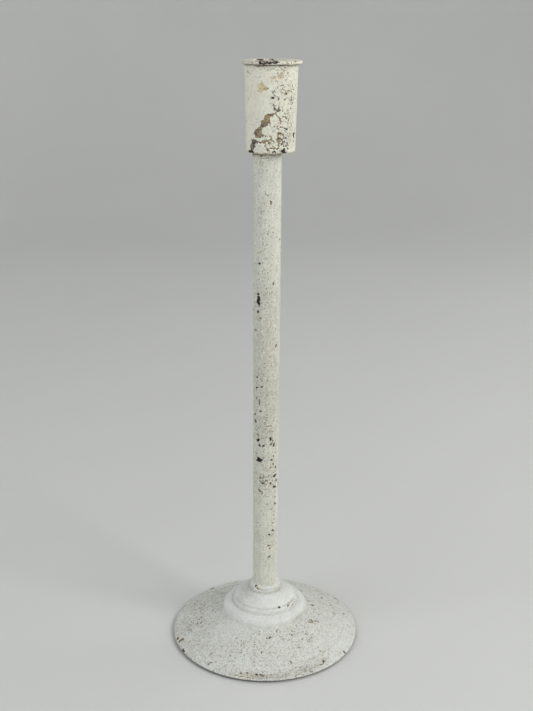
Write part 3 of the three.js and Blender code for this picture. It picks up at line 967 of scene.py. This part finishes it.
RIM_SPOTS = {
    "tan": [
        (120, 405, 1.5, 0.6),
    ],
    "brown": [
        (-38, 404.6, 0.8, 0.4), (40, 404.8, 0.5, 0.3), (150, 405.6, 1.2, 0.7),
    ],
    "grey": [
        (31, 404.7, 0.9, 0.4, -15), (54, 405.4, 0.8, 0.3),
    ],
    "black": [
        (-20, 406.4, 1.2, 0.8), (-3, 405.0, 1.1, 0.8), (6, 405.5, 1.4, 0.7), (-11, 404.9, 0.8, 0.5),
        (-8, 407.2, 1.6, 1.0), (4, 407.6, 1.3, 1.2), (-50, 407.6, 1.4, 0.6), (95, 406.3, 1.4, 0.7),
        (140, 405.0, 1.0, 0.7), (-23, 409.5, 1.8, 1.6), (0, 410.6, 2.2, 1.4), (-142, 412.8, 2.4, 0.9),
        (178, 412.9, 1.8, 0.7), (12, 409.6, 1.0, 0.9), (200, 406.8, 2.6, 0.9), (250, 405.2, 1.2, 0.6),
        (225, 404.6, 0.6, 0.4),
    ],
}
RIM_STROKES = {
    "black": [
        (0.42, (-31, 406.2), (-25, 405.9), (-19, 405.6)),
        (0.45, (-22, 405.3), (-18, 404.6), (-14, 404.3)), (0.5, (-14, 405.9), (-9, 405.4), (-4, 404.6)),
        (0.4, (2, 406.5), (8, 406.0), (13, 405.5)), (0.35, (-2, 404.3), (5, 404.5), (11, 405.1)),
    ],
}


def liner_outline():
    low, high = LINER_LOW[2], LINER_HIGH[2]
    under = CUP_HIGH[2] + 0.3
    outer, inner, floor = 12.0, 11.2, low + 0.8
    return trace((0, low), [
        ((outer - 0.5, low), 3.0),
        ((outer, low), (outer, low + 0.5), 0.4),
        ((outer, under), 3.0),
        ((17.5, under), 1.2),
        ((RIM_RADIUS - 0.4, under), 0.4),
        ((RIM_RADIUS, under), (RIM_RADIUS, under + 0.8), 0.25),
        ((RIM_RADIUS, high - 0.05), (RIM_RADIUS - 2.2, high), 0.25),
        ((inner + 0.7, high), 0.35),
        ((inner, high), (inner, high - 0.8), 0.25),
        ((inner, high - 12), 0.5),
        ((inner, floor + 0.6), 2.0),
        ((inner, floor), (inner - 0.6, floor), 0.4),
        ((0, floor), 2.0),
    ])


def make_liner():
    """The rim is painted like the cup. Inside, candles have rubbed the paint off down to the black metal."""
    surface = turned(liner_outline(), RIM_SIDES)
    high = LINER_HIGH[2]
    on_rim = (surface.radius > 17.2) & (surface.height > CUP_HIGH[2] + 0.2)
    on_top = surface.height > high - 3
    place = surface.height + np.clip(RIM_RADIUS - 1 - surface.radius, 0, 9)
    place = np.where(on_rim | on_top, place, NOWHERE)
    wander(surface, 85)
    layers = chip_layers(surface, place, RIM_SPOTS, RIM_STROKES)
    inside = (surface.radius < 11.8) & (surface.height < high - 1.5)
    rubbed = 0.9 - 2.4 * smooth(high - 2.0, high - 7.5, surface.height)
    painted = on_rim | on_top | inside
    bare_metal = np.where(inside, rubbed, np.where(painted, FAR, -FAR))
    layers["to_black"] = np.minimum(layers["to_black"], bare_metal)
    uneven(surface, seed=81, wave=0.08)
    press_chips(surface, layers, depth=0.2)
    layers["specks"] = clouds(surface, place, 0.4, [(-10, 405, 10, 2, 0.35), (40, 404.5, 8, 1.5, 0.35)])
    layers["crackle"] = np.full(surface.radius.shape, 0.2)
    # Darker on the left of the rim.
    darker_patches = clouds(surface, place, 0.0, [(-45, 405, 7, 2, 0.3), (-75, 405, 7, 2, 0.2)])
    # Painted shadow along the underside of the flange.
    layers["dirt_and_shade"] = darker_patches + 0.6 * round_line(surface.height, CUP_HIGH[2] + 0.3, 0.6)
    layers["bare"] = np.zeros(surface.radius.shape)
    surface.height = np.minimum(surface.height, high - 0.01)
    surface.radius = np.minimum(surface.radius, RIM_RADIUS - 0.01)
    return piece("cup_rim", surface, rim_paint, centre_x=CUP_X, layers=layers)


# ---------------------------------------------------------------- felt

def make_felt():
    radius, low, high = FELT_HIGH[0], FELT_LOW[2], FELT_HIGH[2]
    surface = turned(trace((0, low), [
        ((radius - 0.5, low), 1.6),
        ((radius, low), (radius, low + 0.5), 0.3),
        ((radius, high), 0.4),
        ((radius - 1, high), 0.5),
        ((0, high), 6.0),
    ]), FELT_SIDES)
    rough = 0.12 * lumps(surface, 1.4, 5) + 0.1 * lumps(surface, 7, 6) - 0.14
    push(surface, np.where(surface.height < low + 0.6, rough * (surface.radius > 1), 0))
    surface.height = np.maximum(surface.height, low)
    disc = piece("felt_disc", surface, base_felt)
    return disc


# ---------------------------------------------------------------- stage, lights and camera

def make_stage():
    """A pale floor that rises smoothly into a plain wall all round, open at the top."""
    surface = turned(trace((0, -0.2), [
        ((1400, -0.2), 60.0),
        ((2300, -0.2), (2300, 900), 50.0),
        ((2300, 2600), 200.0),
    ]), 96)
    n = Nodes("stage_paper")
    shade = n.noise(420.0, 2)
    base = n.mix(shade, colour(213, 214, 212), colour(220, 221, 219))
    material = n.finish(base, 0.85, Specular_IOR_Level=0.2)
    stage = piece("stage_paper", surface, material)
    return stage


def area_light(name, place, aim, size, power, tint):
    light = bpy.data.lights.new(name, "AREA")
    light.shape = "RECTANGLE"
    light.size, light.size_y = size
    light.energy = power
    light.color = tint
    lamp = bpy.data.objects.new(name, light)
    lamp.location = place
    lamp.rotation_euler = (Vector(aim) - Vector(place)).to_track_quat("-Z", "Y").to_euler()
    bpy.context.scene.collection.objects.link(lamp)


def make_lights():
    """A key from the right, a broad fill from the left, a light behind, and four that wash the wall."""
    middle = (0, 0, cad_box[1].z / 2)
    area_light("key", (1.15, -0.75, 0.95), middle, (0.7, 0.9), 12.2, (1.0, 0.99, 0.96))
    area_light("left_fill", (-1.3, -0.9, 0.8), middle, (1.2, 1.2), 7.7, (0.96, 0.98, 1.0))
    area_light("back_right", (1.2, 0.7, 1.0), middle, (1.0, 1.0), 4.0, (1.0, 1.0, 0.98))
    for number in range(4):
        turn = math.radians(45 + 90 * number)
        above, wall = 1.1, 2.1
        place = (above * math.cos(turn), above * math.sin(turn), 2.1)
        aim = (wall * math.cos(turn), wall * math.sin(turn), 0.3)
        area_light(f"wall_light_{number}", place, aim, (1.2, 0.5), 6.4, (1.0, 1.0, 1.0))
    world = bpy.data.worlds.new("studio")
    world.use_nodes = True
    background = world.node_tree.nodes["Background"]
    background.inputs["Color"].default_value = (0.9, 0.93, 1.0, 1)
    background.inputs["Strength"].default_value = 0.02
    bpy.context.scene.world = world


CAMERA_DISTANCE = 0.670  # from the candlestick's axis, along the floor
CAMERA_HEIGHT = 0.4336
CAMERA_PITCH = 18.236  # degrees below the horizon
CAMERA_ROLL = 0.354
CAMERA_FOCAL = 1040.7  # in widths of a pixel, for a picture that is 711 high
PICTURE_HEIGHT = 711
SENSOR = 36.0


def make_camera():
    data = bpy.data.cameras.new("camera")
    data.sensor_width = SENSOR
    data.lens = CAMERA_FOCAL / PICTURE_HEIGHT * SENSOR
    data.clip_start, data.clip_end = 0.01, 20
    camera = bpy.data.objects.new("camera", data)
    pitch = Matrix.Rotation(math.radians(90 - CAMERA_PITCH), 4, "X")
    roll = Matrix.Rotation(math.radians(CAMERA_ROLL), 4, "Z")
    camera.matrix_world = Matrix.Translation((0, -CAMERA_DISTANCE, CAMERA_HEIGHT)) @ pitch @ roll
    bpy.context.scene.collection.objects.link(camera)
    bpy.context.scene.camera = camera
    bpy.context.scene.view_settings.view_transform = "Standard"


# ---------------------------------------------------------------- the object

def stand_for(thing, node):
    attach(thing, "root")
    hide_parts(node)


make_camera()
make_lights()
make_stage()
stand_for(make_foot(), "foot")
stand_for(make_stem(), "stem")
stand_for(make_cup(), "candle_cup")
stand_for(make_liner(), "cup_liner")
stand_for(make_felt(), "felt_pad")
for fastener in ("cup_screw", "foot_screw", "foot_washer"):
    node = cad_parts[fastener]
    node.data.materials.clear()
    node.data.materials.append(screw_steel)
